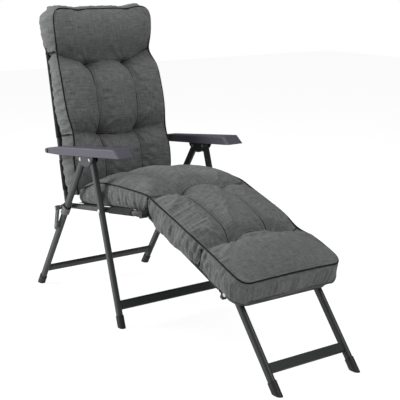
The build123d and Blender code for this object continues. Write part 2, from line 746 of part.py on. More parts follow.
# The hems stop short of the spacers on the seat's pivots
seat_hem_rear = (rest_hinge - seat_pivot).length - spacer_radius - seat_hem_clear


def seat_sling():
    """The seat's fabric: hems about the rails in front, lying on the rails behind them."""
    front = rest_hinge - seat_forward * seat_hem_front
    front_hem = front - seat_forward * corner_length
    hem_length = seat_hem_rear - seat_hem_front - corner_length
    hems = hem(front_hem + Vector(rail_offset, 0, 0), -seat_forward, hem_length)
    hems += hem(front_hem - Vector(rail_offset, 0, 0), -seat_forward, hem_length)
    fore = panel(front_hem, -seat_forward, seat_normal, rail_offset, hem_length)
    rear_start = rest_hinge - seat_forward * seat_hem_rear
    rear_length = seat_length - seat_sling_set - seat_hem_rear
    rear = panel(rear_start, -seat_forward, seat_normal, rail_offset - seat_sling_inset, rear_length)
    return hems + fore + rear


def back_sling():
    """The back's fabric, hemmed about the uprights and open about the armrest bolts."""
    break_middle = (arm_bolt - back_hinge).dot(back_up)
    low_length = break_middle - back_hem_break - back_sling_foot
    high_start = break_middle + back_hem_break
    high_length = back_length - back_sling_drop - high_start
    cloth = panel(back_hinge + back_up * back_sling_foot, back_up, back_normal, back_offset, low_length)
    cloth += panel(
        back_hinge + back_up * (back_sling_foot + low_length), back_up, back_normal,
        back_offset - seat_sling_inset, 2 * back_hem_break,
    )
    cloth += panel(back_hinge + back_up * high_start, back_up, back_normal, back_offset, high_length)
    for across in (-back_offset, back_offset):
        shift = Vector(across, 0, 0)
        cloth += hem(back_hinge + back_up * back_sling_foot + shift, back_up, low_length)
        cloth += hem(back_hinge + back_up * high_start + shift, back_up, high_length)
    return cloth


def rest_sling():
    """The leg rest's fabric, hemmed about its rails."""
    start = rest_axis + rest_forward * rest_sling_near
    length = rest_pivot_along - rest_sling_clear - rest_sling_near
    cloth = panel(start, rest_forward, rest_normal, rest_rail_offset, length)
    for across in (-rest_rail_offset, rest_rail_offset):
        cloth += hem(start + Vector(across, 0, 0), rest_forward, length)
    return cloth


write("seat_sling", seat_sling())

# Back frame, turning about the pins behind the seat
upright_start = Vector(back_offset, back_hinge.Y, back_hinge.Z) - back_up * back_tube_tail
upright_length = back_tube_tail + back_length - back_bend_radius - back_bend_lead
upright = round_tube(upright_start, back_up, upright_length)
upright_bore = bolt_radius + pin_gap
upright -= cross_rod(back_hinge, back_offset - 2 * tube_radius, back_offset + 2 * tube_radius, upright_bore)
write_pair("back_upright", upright)
back_plane = Plane(origin=back_hinge, x_dir=(1, 0, 0), z_dir=back_normal)
write("back_top_bend", bent_tube(back_plane, back_offset, back_length, back_bend_lead, back_bend_radius))
write("back_sling", back_sling())

# Leg rest frame, turning about the seat's front tube
rest_rail_start = rest_axis + Vector(rest_rail_offset, 0, 0) + rest_forward * tube_radius
rest_rail_length = rest_length - rest_bend_radius - rest_bend_lead - tube_radius
rest_rail = round_tube(rest_rail_start, rest_forward, rest_rail_length)
rest_bore = bolt_radius + nest_gap / 2
rest_rail -= cross_rod(
    rest_pivot, rest_rail_offset - 2 * tube_radius, rest_rail_offset + 2 * tube_radius, rest_bore
)
write_pair("rest_rail", rest_rail)
rest_plane = Plane(origin=rest_axis, x_dir=(-1, 0, 0), z_dir=rest_normal)
rest_bend = bent_tube(rest_plane, rest_rail_offset, rest_length, rest_bend_lead, rest_bend_radius)
write("rest_end_bend", rest_bend)


def rest_knuckle():
    """A hinge ring about the seat's front tube, with a socket over the leg rest's rail."""
    bore = tube_radius + pin_gap
    start = rest_rail_offset - rest_hinge_width / 2
    ring = cross_rod(rest_hinge, start, start + rest_hinge_width, tube_radius + rest_hinge_ring)
    centre = Vector(rest_rail_offset, rest_axis.Y, rest_axis.Z)
    sleeve_radius = tube_radius + rest_hinge_wall
    sleeve = extrude(along(centre, rest_forward) * Circle(sleeve_radius), amount=rest_hinge_socket)
    web_place = Plane(origin=(start, rest_hinge.Y, rest_hinge.Z), x_dir=-rest_forward, z_dir=(1, 0, 0))
    web_outline = Pos(-tube_radius / 2, -rest_drop / 2, 0) * Rectangle(tube_radius, rest_drop)
    web = slab(web_place, web_outline, rest_hinge_width)
    body = ring + sleeve + web
    body -= cross_rod(rest_hinge, start - rest_hinge_width, start + 2 * rest_hinge_width, bore)
    rail_bore = Circle(tube_radius + nest_gap)
    return body - extrude(along(rest_rail_start, rest_forward) * rail_bore, amount=rest_length)


def rest_stop():
    """A moulded stop under the rail, behind which the rest's leg comes to stand."""
    place = rest_axis + rest_forward * (rest_pivot_along - leg_depth / 2 - rest_stop_set)
    start = rest_rail_offset - tube_radius - rest_stop_thick
    origin = Vector(start, place.Y, place.Z)
    view = Plane(origin=origin, x_dir=-rest_forward, z_dir=(1, 0, 0))
    outer = tube_radius + rest_stop_wall
    height = tube_radius + rest_stop_drop
    block = Pos(0, -height / 2, 0) * Rectangle(rest_stop_length, height)
    tab = slab(view, block, rest_stop_thick + tube_radius)
    centre = Vector(rest_rail_offset, place.Y, place.Z)
    clip_start = along(centre - rest_forward * (rest_stop_length / 2), rest_forward)
    clip = extrude(clip_start * Circle(outer), amount=rest_stop_length)
    top = Plane(origin=centre, z_dir=rest_normal)
    body = split(tab + clip, bisect_by=top, keep=Keep.BOTTOM)
    rail_bore = Circle(tube_radius + nest_gap)
    return body - extrude(along(rest_rail_start, rest_forward) * rail_bore, amount=rest_length)


write_pair("rest_hinge", rest_knuckle())
write_pair("rest_leg_stop", rest_stop())
write("rest_sling", rest_sling())
rest_rail_outer = rest_rail_offset + tube_radius
rest_rail_inner = rest_rail_offset - tube_radius
rest_leg_inner = rest_leg_offset - leg_thick / 2
rest_leg_outer = rest_leg_offset + leg_thick / 2
rest_bolt = headed_pin(
    rest_pivot, rest_leg_inner - side_gap, rest_rail_outer, bolt_radius, bolt_head_radius, bolt_head
)
rest_bolt += cross_rod(
    rest_pivot, rest_leg_inner - side_gap - bolt_head, rest_leg_inner - side_gap, bolt_head_radius
)
write("rest_leg_bolts", both(rest_bolt))
rest_spacer = cross_ring(
    rest_pivot, rest_leg_outer + side_gap, rest_rail_inner, spacer_radius, bolt_radius + nest_gap / 2
)
write("rest_leg_spacers", both(rest_spacer))

# The leg rest's own legs
rest_holes = [(rest_pivot, bolt_radius)]
rest_leg = leg(rest_foot, rest_pivot, rest_up, rest_leg_offset, rest_leg_crown, rest_holes)
write_pair("rest_leg", rest_leg)
write_pair("rest_foot", foot_cap(rest_foot, rest_up, rest_leg_offset))
write("rest_crossbar", leg_bar(rest_foot, rest_up, rest_lean, rest_bar_height, rest_leg_inner))


# The pads lie on the slings, clear of the fittings on the tubes, and pass between the legs
pad_sole = tube_radius + max(sling_hem_gap + sling_thick, corner_wall, rest_hinge_wall) + pad_gap
pad_half_width = leg_inner - pad_side_gap
headrest_foot = back_length * headrest_foot_share
headrest_top = back_length + headrest_over
leg_pad_row = rest_length * leg_pad_row_share


def pad_section(place, width_share, side_share, crown_share, seam_share=None):
    """One cross-section of a row: flat below, bulged sides, one crown or three columns."""
    half = pad_half_width * width_share
    edge = pad_height * side_share
    crown = pad_height * crown_share
    middle = (pad_sole + edge) / 2
    edges = [Line((-half, pad_sole), (half, pad_sole))]
    edges.append(ThreePointArc((half, pad_sole), (half + side_bulge, middle), (half, edge)))
    if seam_share is None:
        edges.append(ThreePointArc((half, edge), (0, crown), (-half, edge)))
    else:
        seam = pad_height * seam_share
        column = (half + seam_offset) / 2
        swell = (crown + edge) / 2
        edges.append(ThreePointArc((half, edge), (column, swell), (seam_offset, seam)))
        edges.append(ThreePointArc((seam_offset, seam), (0, crown), (-seam_offset, seam)))
        edges.append(ThreePointArc((-seam_offset, seam), (-column, swell), (-half, edge)))
    edges.append(ThreePointArc((-half, edge), (-half - side_bulge, middle), (-half, pad_sole)))
    return Plane(origin=(0, place, 0), x_dir=(1, 0, 0), z_dir=(0, -1, 0)) * make_face(edges)


def pad_row(places, shares):
    """A stuffed row, lofted smoothly from one sewn seam over its full middle to the next."""
    return loft([pad_section(place, *share) for place, share in zip(places, shares)])


def cushion_back():
    """Two rows of three columns on the back, drawn in along a seam at the waist."""
    seam = back_length * back_pad_row_share
    low = pad_row([back_pad_foot, back_length * back_pad_low_share, seam], back_low_shares)
    high = pad_row([seam, back_length * back_pad_high_share, headrest_foot], back_high_shares)
    return back_plane.location * (low + high)


def cushion_headrest():
    """One broad stuffed row above the waist seam, with a hood over the back's top tube."""
    row = pad_row([headrest_foot, back_length * headrest_middle_share, headrest_top], headrest_shares)
    low = tube_radius + pad_gap
    reach = headrest_over - low
    hood_width = 2 * (back_offset - hood_inset)
    hood_place = Pos(0, headrest_top - reach / 2, (pad_sole - hood_depth) / 2)
    cap = hood_place * Box(hood_width, reach, hood_depth + pad_sole)
    flap_thick = hood_depth - low
    flap_place = Pos(0, headrest_top - hood_flap / 2, -low - flap_thick / 2)
    flap = flap_place * Box(hood_width, hood_flap, flap_thick)
    return back_plane.location * (row + cap + flap)


# The seat's pad and the leg rest's pad meet in a mitre above the hinge
ridge_lean = (seat_tilt - rest_slope) / 2
ridge_back = -heading(ridge_lean - 90)
hinge_groove = cross_rod(
    rest_hinge, -pad_half_width - overrun, pad_half_width + overrun, tube_radius + rest_hinge_ring + pad_gap
)


def cushion_seat():
    """One row of three columns on the seat, mitred where it meets the leg rest's pad."""
    frame = Plane(origin=rest_hinge, x_dir=(1, 0, 0), z_dir=seat_normal)
    places = [seat_pad_front, seat_length * seat_pad_middle_share, seat_length - seat_pad_set]
    row = frame.location * pad_row(places, seat_shares)
    first = frame.location * pad_section(seat_pad_front, *seat_shares[0])
    row += extrude(first, amount=seat_pad_front + overrun, dir=seat_forward)
    cut = Plane(origin=rest_hinge + ridge_back * (pad_gap / 2), x_dir=(1, 0, 0), z_dir=ridge_back)
    return split(row, bisect_by=cut, keep=Keep.TOP) - hinge_groove


def cushion_leg():
    """A row of three columns and a broad end row on the leg rest."""
    frame = Plane(origin=rest_axis, x_dir=(-1, 0, 0), z_dir=rest_normal)
    end = rest_length + leg_pad_over
    rows = pad_row([leg_pad_row, rest_length * leg_pad_middle_share, leg_pad_near], leg_near_shares)
    rows += pad_row([end, rest_length * leg_pad_far_share, leg_pad_row], leg_far_shares)
    rows = frame.location * rows
    first = frame.location * pad_section(leg_pad_near, *leg_near_shares[-1])
    rows += extrude(first, amount=leg_pad_near + overrun, dir=-rest_forward)
    cut = Plane(origin=rest_hinge - ridge_back * (pad_gap / 2), x_dir=(1, 0, 0), z_dir=ridge_back)
    return split(rows, bisect_by=cut, keep=Keep.BOTTOM) - hinge_groove


# The quilted pad, in one piece for each part of the frame that carries it
write("cushion_back", cushion_back())
write("cushion_headrest", cushion_headrest())
write("cushion_seat", cushion_seat())
write("cushion_leg", cushion_leg())
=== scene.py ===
import json
from math import cos, radians, sin

import bpy
import numpy as np
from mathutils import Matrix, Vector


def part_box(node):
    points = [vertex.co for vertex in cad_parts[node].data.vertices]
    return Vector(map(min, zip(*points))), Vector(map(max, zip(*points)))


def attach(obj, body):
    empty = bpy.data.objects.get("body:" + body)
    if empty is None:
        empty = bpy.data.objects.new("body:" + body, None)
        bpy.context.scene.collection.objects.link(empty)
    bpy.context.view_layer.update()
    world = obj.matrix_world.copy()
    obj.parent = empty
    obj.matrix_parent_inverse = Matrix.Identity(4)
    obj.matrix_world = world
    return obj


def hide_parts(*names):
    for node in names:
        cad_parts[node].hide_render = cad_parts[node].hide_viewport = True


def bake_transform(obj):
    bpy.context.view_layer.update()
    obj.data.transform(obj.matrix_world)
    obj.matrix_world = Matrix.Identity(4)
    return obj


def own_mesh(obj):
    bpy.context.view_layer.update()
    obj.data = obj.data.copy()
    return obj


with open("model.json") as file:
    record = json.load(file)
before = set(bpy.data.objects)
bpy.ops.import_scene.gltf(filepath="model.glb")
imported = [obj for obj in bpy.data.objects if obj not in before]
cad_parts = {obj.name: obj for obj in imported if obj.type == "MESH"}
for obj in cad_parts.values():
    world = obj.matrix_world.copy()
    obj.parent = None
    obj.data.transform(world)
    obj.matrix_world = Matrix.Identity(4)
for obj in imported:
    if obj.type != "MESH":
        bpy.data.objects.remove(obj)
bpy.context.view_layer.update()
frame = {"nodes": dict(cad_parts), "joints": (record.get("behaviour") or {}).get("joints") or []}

nodes = frame["nodes"]
joints = {joint["name"]: joint for joint in frame["joints"]}

# The camera stands in front of the lounger, to the sitter's right, a little above the headrest.
# Its place and its long lens come from the photograph's own perspective.
camera = bpy.data.objects.new("camera", bpy.data.cameras.new("camera"))
camera.data.lens = 87.69
camera.data.sensor_width = 36.0
camera.location = (-1.998, -2.8895, 1.2979)
camera.rotation_euler = (radians(90 - 13.355), 0, radians(-35.359))
bpy.context.collection.objects.link(camera)
bpy.context.scene.camera = camera


def linear(code):
    """An sRGB hex colour as linear red, green, blue and a full alpha."""
    channels = [int(code[k:k + 2], 16) / 255 for k in (1, 3, 5)]
    return [c / 12.92 if c <= 0.04045 else ((c + 0.055) / 1.055) ** 2.4 for c in channels] + [1.0]


def add_node(tree, kind, inputs=(), **settings):
    """Adds a node, sets its properties, and gives each named input a value or another node's output."""
    node = tree.nodes.new(kind)
    for name, value in settings.items():
        setattr(node, name, value)
    for name, value in dict(inputs).items():
        if isinstance(value, bpy.types.NodeSocket):
            tree.links.new(value, node.inputs[name])
        else:
            node.inputs[name].default_value = value
    return node


def new_material(name):
    """An empty node material and its output node."""
    material = bpy.data.materials.new(name)
    material.use_nodes = True
    material.node_tree.nodes.clear()
    return material, material.node_tree


# The ground is a plain pale sheet, as in a studio. It shows as plain white to the camera where
# nothing shades it, and keeps the soft shadow under the feet.
material, tree = new_material("matt_studio_paper")
paper = add_node(tree, "ShaderNodeBsdfDiffuse", {"Color": linear("#F4F4F4")})
glow = add_node(tree, "ShaderNodeEmission", {"Color": linear("#FFFFFF"), "Strength": 1.2})
light_path = add_node(tree, "ShaderNodeLightPath")
camera_share = 0.76
seen = add_node(tree, "ShaderNodeMath", {
    0: light_path.outputs["Is Camera Ray"], 1: camera_share}, operation="MULTIPLY")
mixed = add_node(tree, "ShaderNodeMixShader", {0: seen.outputs[0], 1: paper.outputs[0], 2: glow.outputs[0]})
add_node(tree, "ShaderNodeOutputMaterial", {"Surface": mixed.outputs[0]})
floor_mesh = bpy.data.meshes.new("floor")
floor_mesh.from_pydata([(-9, -9, 0), (9, -9, 0), (9, 9, 0), (-9, 9, 0)], [], [(0, 1, 2, 3)])
floor_mesh.materials.append(material)
floor = bpy.data.objects.new("floor", floor_mesh)
bpy.context.collection.objects.link(floor)

# The room gives a little even light. It shows as plain white behind the object.
world = bpy.data.worlds.new("studio_room")
bpy.context.scene.world = world
world.use_nodes = True
tree = world.node_tree
tree.nodes.clear()
light_path = add_node(tree, "ShaderNodeLightPath")
direct = add_node(tree, "ShaderNodeMath", {
    0: light_path.outputs["Is Camera Ray"], 1: light_path.outputs["Is Transmission Ray"]},
    operation="MAXIMUM")
room = add_node(tree, "ShaderNodeBackground", {"Color": linear("#FFFFFF"), "Strength": 0.2})
white = add_node(tree, "ShaderNodeBackground", {"Color": linear("#FFFFFF"), "Strength": 1.0})
mixed = add_node(tree, "ShaderNodeMixShader", {0: direct.outputs[0], 1: room.outputs[0], 2: white.outputs[0]})
add_node(tree, "ShaderNodeOutputWorld", {"Surface": mixed.outputs[0]})

# Three soft lamps: one overhead, one low behind the sitter's right shoulder, and one in front.
for name, place, aim, size, power in [
        ("top_lamp", (-0.6, 0.2, 4.2), (0.0, 0.0, 0.4), 2.6, 66.0),
        ("side_lamp", (-2.5, 2.3, 1.7), (0.0, 0.2, 0.6), 1.4, 100.0),
        ("front_lamp", (0.4, -3.4, 3.6), (0.0, 0.0, 0.6), 2.0, 61.0)]:
    lamp = bpy.data.objects.new(name, bpy.data.lights.new(name, "AREA"))
    lamp.data.size = size
    lamp.data.energy = power
    lamp.location = place
    direction = np.array(aim) - np.array(place)
    flat = np.hypot(direction[0], direction[1])
    lamp.rotation_euler = (np.arctan2(flat, -direction[2]), 0, np.arctan2(-direction[0], direction[1]))
    bpy.context.collection.objects.link(lamp)
bpy.context.scene.view_settings.view_transform = "Standard"


# Tubes of the frame, bars, brackets and hinge plates. They are bent and welded steel, powder
# coated in a satin dark grey, which leaves a faint orange-peel skin about 2 mm across.
def powder_coat(name, code, dark_code):
    """Satin powder coat: a slightly uneven colour under a fine orange-peel bump."""
    material, tree = new_material(name)
    place = add_node(tree, "ShaderNodeTexCoord").outputs["Object"]
    cloud = add_node(tree, "ShaderNodeTexNoise", {"Vector": place, "Scale": 14.0, "Detail": 4.0})
    tone = add_node(tree, "ShaderNodeMix", {
        0: cloud.outputs[0], 6: linear(dark_code), 7: linear(code)}, data_type="RGBA")
    peel = add_node(tree, "ShaderNodeTexNoise", {"Vector": place, "Scale": 480.0, "Detail": 2.0})
    skin = add_node(tree, "ShaderNodeBump", {"Height": peel.outputs[0], "Strength": 0.10, "Distance": 0.0004})
    rough = add_node(tree, "ShaderNodeMapRange", {"Value": cloud.outputs[0], "To Min": 0.36, "To Max": 0.46})
    shader = add_node(tree, "ShaderNodeBsdfPrincipled", {
        "Base Color": tone.outputs[2], "Roughness": rough.outputs[0], "Normal": skin.outputs[0], "IOR": 1.5})
    add_node(tree, "ShaderNodeOutputMaterial", {"Surface": shader.outputs[0]})
    return material


def dress(material, *names):
    """Gives CAD nodes a material."""
    for name in names:
        for slot in nodes[name].material_slots:
            slot.material = material


def pair(*names):
    """The left and right nodes of each name."""
    return [f"{name}_{side}" for name in names for side in ("left", "right")]


grey_coat = powder_coat("grey_powder_coated_steel", "#363A3B", "#303435")
dress(grey_coat, *pair("rear_leg", "front_leg", "seat_rail", "back_upright", "rest_rail", "arm_bracket"))
dress(grey_coat, "rear_crossbar", "front_crossbar", "seat_front_tube", "seat_rear_tube")
dress(grey_coat, "back_top_bend", "rest_end_bend", *pair("back_hinge_plate"))

# The leg rest's own legs and bar have the same steel and the same grey coat. Their copy of the coat is darker:
# painted shade, for their being less lit under the pad.
shaded_grey_coat = powder_coat("grey_powder_coat_painted_shade", "#2F3233", "#2A2D2E")
dress(shaded_grey_coat, *pair("rest_leg"), "rest_crossbar")


# Foot caps, elbows, hinge rings, liners, stops and spacers. They are injection-moulded black
# nylon with a fine spark-eroded grain about 1 mm across.
def moulded(name, code, dark_code, grain, roughness):
    """Moulded plastic: a fine grain in the bump and a faint mottling of the colour."""
    material, tree = new_material(name)
    place = add_node(tree, "ShaderNodeTexCoord").outputs["Object"]
    cloud = add_node(tree, "ShaderNodeTexNoise", {"Vector": place, "Scale": 30.0, "Detail": 5.0})
    tone = add_node(tree, "ShaderNodeMix", {
        0: cloud.outputs[0], 6: linear(dark_code), 7: linear(code)}, data_type="RGBA")
    spark = add_node(tree, "ShaderNodeTexNoise", {"Vector": place, "Scale": 1000.0 / grain, "Detail": 3.0})
    skin = add_node(tree, "ShaderNodeBump", {
        "Height": spark.outputs[0], "Strength": 0.22, "Distance": 0.0005})
    rough = add_node(tree, "ShaderNodeMapRange", {
        "Value": cloud.outputs[0], "To Min": roughness - 0.05, "To Max": roughness + 0.05})
    shader = add_node(tree, "ShaderNodeBsdfPrincipled", {
        "Base Color": tone.outputs[2], "Roughness": rough.outputs[0], "Normal": skin.outputs[0], "IOR": 1.5})
    add_node(tree, "ShaderNodeOutputMaterial", {"Surface": shader.outputs[0]})
    return material


black_nylon = moulded("black_moulded_nylon", "#1E1F20", "#171819", 1.0, 0.55)
dress(black_nylon, *pair("rear_foot", "front_foot", "rest_foot", "seat_corner", "rest_hinge", "rest_leg_stop"))
dress(black_nylon, "collar_liners", "seat_spacers", "armrest_spacers", "rest_leg_spacers")

# Collars and levers are moulded in a grey nylon close to the tube's own colour.
grey_nylon = moulded("grey_moulded_nylon", "#686B6B", "#5E6161", 1.0, 0.5)
dress(grey_nylon, *pair("collar", "lever"))

# Armrests are moulded polypropylene in a warm violet grey, with a leather-like grain.
armrest_plastic = moulded("violet_grey_moulded_polypropylene", "#4F4C58", "#494652", 1.6, 0.52)
dress(armrest_plastic, *pair("armrest"))


# Bolts, rivets, screws and studs are zinc-plated steel, turned and tumbled, with fine
# scratches about a millimetre apart.
zinc, tree = new_material("zinc_plated_steel")
place = add_node(tree, "ShaderNodeTexCoord").outputs["Object"]
scratch = add_node(tree, "ShaderNodeTexNoise", {"Vector": place, "Scale": 900.0, "Detail": 3.0})
rough = add_node(tree, "ShaderNodeMapRange", {"Value": scratch.outputs[0], "To Min": 0.24, "To Max": 0.42})
skin = add_node(tree, "ShaderNodeBump", {"Height": scratch.outputs[0], "Strength": 0.08, "Distance": 0.0003})
shader = add_node(tree, "ShaderNodeBsdfPrincipled", {
    "Base Color": linear("#D2D3D3"), "Metallic": 1.0, "Roughness": rough.outputs[0],
    "Normal": skin.outputs[0]})
add_node(tree, "ShaderNodeOutputMaterial", {"Surface": shader.outputs[0]})
dress(zinc, "bracket_screws", "leg_rivets", "armrest_bolts", "seat_pivot_bolts", "collar_studs")
dress(zinc, "back_hinge_pins", "collar_bolts", "rest_leg_bolts")


def grid_mesh(name, grids, materials):
    """Joins grids of points into one mesh. Each grid is (points, u, v, wrap, slot): an array of
    rows by columns, its texture place in metres, whether its columns close into a ring, and its
    material. Neighbouring points make the faces, and the first and last rings get an end face."""
    all_points, faces, all_uv, all_slots, start = [], [], [], [], 0
    for points, u, v, wrap, slot in grids:
        rows, columns = points.shape[:2]
        row = np.arange(rows - 1)[:, None]
        column = np.arange(columns if wrap else columns - 1)[None, :]
        after = (column + 1) % columns
        corners = np.stack([
            row * columns + column, row * columns + after,
            (row + 1) * columns + after, (row + 1) * columns + column], axis=-1)
        corners = corners.reshape(-1, 4)
        rings = np.arange(rows * columns).reshape(rows, columns)[[0, -1]] if wrap else np.empty((0, 1), int)
        order = np.concatenate([corners.ravel(), rings[:1, ::-1].ravel(), rings[1:].ravel()])
        all_points.append(points.reshape(-1, 3))
        faces += (corners + start).tolist()
        faces += (rings[:1, ::-1] + start).tolist() + (rings[1:] + start).tolist()
        all_uv.append(np.stack([u.ravel()[order], v.ravel()[order]], axis=-1))
        all_slots.append(np.full(len(corners) + len(rings), slot))
        start += rows * columns
    mesh = bpy.data.meshes.new(name)
    mesh.from_pydata(np.concatenate(all_points).tolist(), [], faces)
    mesh.polygons.foreach_set("material_index", np.concatenate(all_slots))
    mesh.polygons.foreach_set("use_smooth", np.ones(len(faces), bool))
    layer = mesh.uv_layers.new(name="cloth")
    layer.data.foreach_set("uv", np.concatenate(all_uv).ravel())
    for material in materials:
        mesh.materials.append(material)
    piece = bpy.data.objects.new(name, mesh)
    bpy.context.collection.objects.link(piece)
    return piece


def ring_about_x(name, centre, profile, material):
    """A turned ring about an axis across the lounger: profile points (radius, along) revolved."""
    steps = 40
    turn = np.linspace(0, 2 * np.pi, steps + 1)[:-1]
    radius, along = np.array(profile).T
    points = np.stack([
        np.broadcast_to(centre[0] + along[:, None], (len(profile), steps)),
        centre[1] + radius[:, None] * np.cos(turn), centre[2] + radius[:, None] * np.sin(turn)], axis=-1)
    u, v = np.meshgrid(turn * 0.01, along)
    return grid_mesh(name, [(points, u, v, True, 0)], [material])


# Black moulded cups ring the heads of the lever bolts and the armrests' rear bolts, so that only
# the middle of each head shows bright. They are pressed over the heads.
cup_depth, cup_lip, cup_wall, head_radius = 0.0034, 0.0006, 0.0010, 0.0077
for side, sign in (("left", 1), ("right", -1)):
    for part, node, inner, outer, body in (
            ("lever", "collar_bolts", 0.0044, 0.0088, "collars"),
            ("armrest", "armrest_bolts", 0.0046, 0.0090, "armrests")):
        low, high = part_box(node)
        centre = (sign * high[0], (low[1] + high[1]) / 2, (low[2] + high[2]) / 2)
        rim = [(inner, -0.0001), (inner, cup_lip), (outer - 2 * cup_lip, cup_lip), (outer, -cup_lip),
               (outer, -cup_depth), (outer - cup_wall, -cup_depth), (head_radius, -cup_depth),
               (head_radius, -0.0001)]
        profile = [(radius, sign * along) for radius, along in (rim if sign > 0 else rim[::-1])]
        cup = ring_about_x(f"{part}_bolt_cup_{side}", centre, profile, black_nylon)
        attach(cup, body)


# The slings are one layer of coarse woven support cloth under the pad, hemmed about the tubes
# with a doubled seam and pulled tight between them. They are near black.
def woven(name, light_code, dark_code, thread, depth):
    """Plain weave on the cloth's own UV map, in metres: two crossed waves set the bump, and noise
    drawn out along each thread gives the slubs, about three times as coarse as real ones so that
    they show. thread is the spacing of the threads in mm."""
    material, tree = new_material(name)
    place = add_node(tree, "ShaderNodeUVMap", uv_map="cloth").outputs[0]
    waves = []
    for direction in ("X", "Y"):
        waves.append(add_node(tree, "ShaderNodeTexWave", {
            "Vector": place, "Scale": 314.0 / thread, "Distortion": 0.6, "Detail": 1.0, "Detail Scale": 1.5},
            wave_type="BANDS", bands_direction=direction).outputs[1])
    cross = add_node(tree, "ShaderNodeMath", {0: waves[0], 1: waves[1]}, operation="ADD")
    slubs = []
    for stretch in ((24.0, 250.0, 1.0), (250.0, 24.0, 1.0)):
        drawn = add_node(tree, "ShaderNodeVectorMath", {0: place, 1: stretch}, operation="MULTIPLY")
        slubs.append(add_node(tree, "ShaderNodeTexNoise", {
            "Vector": drawn.outputs[0], "Scale": 1.0, "Detail": 3.0, "Roughness": 0.6}).outputs[0])
    mixed = add_node(tree, "ShaderNodeMath", {0: slubs[0], 1: slubs[1]}, operation="ADD")
    heather = add_node(tree, "ShaderNodeMapRange", {
        "Value": mixed.outputs[0], "From Min": 0.62, "From Max": 1.38})
    tone = add_node(tree, "ShaderNodeMix", {
        0: heather.outputs[0], 6: linear(dark_code), 7: linear(light_code)}, data_type="RGBA")
    relief = add_node(tree, "ShaderNodeMath", {0: cross.outputs[0], 1: mixed.outputs[0]}, operation="ADD")
    skin = add_node(tree, "ShaderNodeBump", {
        "Height": relief.outputs[0], "Strength": 0.35, "Distance": depth})
    shader = add_node(tree, "ShaderNodeBsdfPrincipled", {
        "Base Color": tone.outputs[2], "Roughness": 0.92, "Normal": skin.outputs[0],
        "Sheen Weight": 0.12, "Sheen Roughness": 0.5, "Specular IOR Level": 0.2})
    add_node(tree, "ShaderNodeOutputMaterial", {"Surface": shader.outputs[0]})
    return material


sling_cloth = woven("black_woven_sling_cloth", "#2A2C2D", "#1B1C1D", 1.8, 0.0006)
seat_hinge = np.array(joints["leg_rest_turn"]["pos_m"])
back_hinge = np.array(joints["back_turn"]["pos_m"])
across = np.array([1.0, 0.0, 0.0])


def facing(angle):
    """The direction in the side view at an angle in degrees from straight up, turned to the rear."""
    return np.array([0.0, sin(radians(angle)), cos(radians(angle))])


sling_radius = 0.0122
sling_sag = 0.003
sling_thickness = 0.0009


def sling_strip(origin, along, normal, tube, start, end, wrap):
    """A strip of cloth from start to end: a wrap of so many degrees about each tube, and between
    the tubes' tops a flat run that hangs a little in a parabola."""
    turn = np.radians(np.linspace(90 - wrap, 90, 25 if wrap else 2))
    right = np.stack([tube + sling_radius * np.cos(turn), sling_radius * np.sin(turn)], axis=-1)
    share = np.linspace(1, -1, 61)[1:-1]
    flat = np.stack([tube * share, sling_radius - sling_sag * (1 - share ** 2)], axis=-1)
    left = right[::-1] * [-1, 1]
    section = np.concatenate([right, flat, left])
    step = np.hypot(*np.diff(section, axis=0).T)
    u = np.concatenate([[0], np.cumsum(step)])
    v = np.linspace(start, end, max(3, int((end - start) / 0.01)))
    points = (origin + section[None, :, :1] * across + section[None, :, 1:] * normal
              + v[:, None, None] * along)
    u_grid, v_grid = np.meshgrid(u, v)
    return (points, u_grid, v_grid, False, 0), u[-1] * (end - start), u[-1]


seat_lean, back_lean, rest_lean = 8.0, -78.57, -20.1
hem = 300
seat_frame = (seat_hinge, facing(seat_lean + 90), facing(seat_lean))
back_plane = (back_hinge, facing(back_lean + 90), facing(back_lean))
rest_frame = (seat_hinge - 0.015 * facing(rest_lean), facing(rest_lean - 90), facing(rest_lean))
for name, node, body, strips, tubes in (
        ("seat_support", "seat_sling", "seat", [
            (*seat_frame, 0.2305, 0.064, 0.2347, hem), (*seat_frame, 0.2225, 0.2347, 0.500, 0)],
            ["seat_rail_left", "seat_rail_right"]),
        ("back_support", "back_sling", "back", [
            (*back_plane, 0.217, 0.060, 0.1807, hem), (*back_plane, 0.209, 0.1807, 0.2707, 0),
            (*back_plane, 0.217, 0.2707, 0.640, hem)],
            ["back_upright_left", "back_upright_right"]),
        ("rest_support", "rest_sling", "leg_rest", [
            (*rest_frame, 0.194, 0.062, 0.440, hem)],
            ["rest_rail_left", "rest_rail_right"])):
    made = [sling_strip(*strip) for strip in strips]
    sling = grid_mesh(name, [piece for piece, area, width in made], [sling_cloth])
    thicken = sling.modifiers.new("two_faces", "SOLIDIFY")
    thicken.thickness = sling_thickness
    thicken.offset = 0.0
    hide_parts(node)
    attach(sling, body)


# The pad is one long quilt of stuffed rows in a heathered grey slub cloth, sewn with black piping
# round its top edges. The rows are sewn across and pinched at two places each, which gathers them.
# Black cords of the piping cloth also lie along these seams. They are partly the dark thread and partly
# painted shade of the creases.
pad_cloth = woven("grey_heather_slub_cloth", "#7E7F7F", "#4D4E4E", 2.4, 0.0008)
piping_and_seam_shade_cloth = woven("black_piping_and_seam_shade_cloth", "#161616", "#0E0E0E", 1.2, 0.0003)
top_columns, side_columns, base_columns = 97, 13, 21
row_step = 0.005
end_rings = 9
# The seam and boxing seam cords are black: partly dark thread, partly painted shade of the creases.
piping_radius, seam_thread_and_shade_radius, boxing_seam_thread_and_shade_radius = 0.0034, 0.0019, 0.0032


def ripple(position, period, seed):
    """Soft irregular waves: a sum of sines whose lengths lie about a period, seeded."""
    source = np.random.default_rng(seed)
    lengths = period * source.uniform(0.6, 1.7, 7)
    starts = source.uniform(0, 2 * np.pi, 7)
    return np.sin(2 * np.pi * position[..., None] / lengths + starts).sum(-1) / 3.0


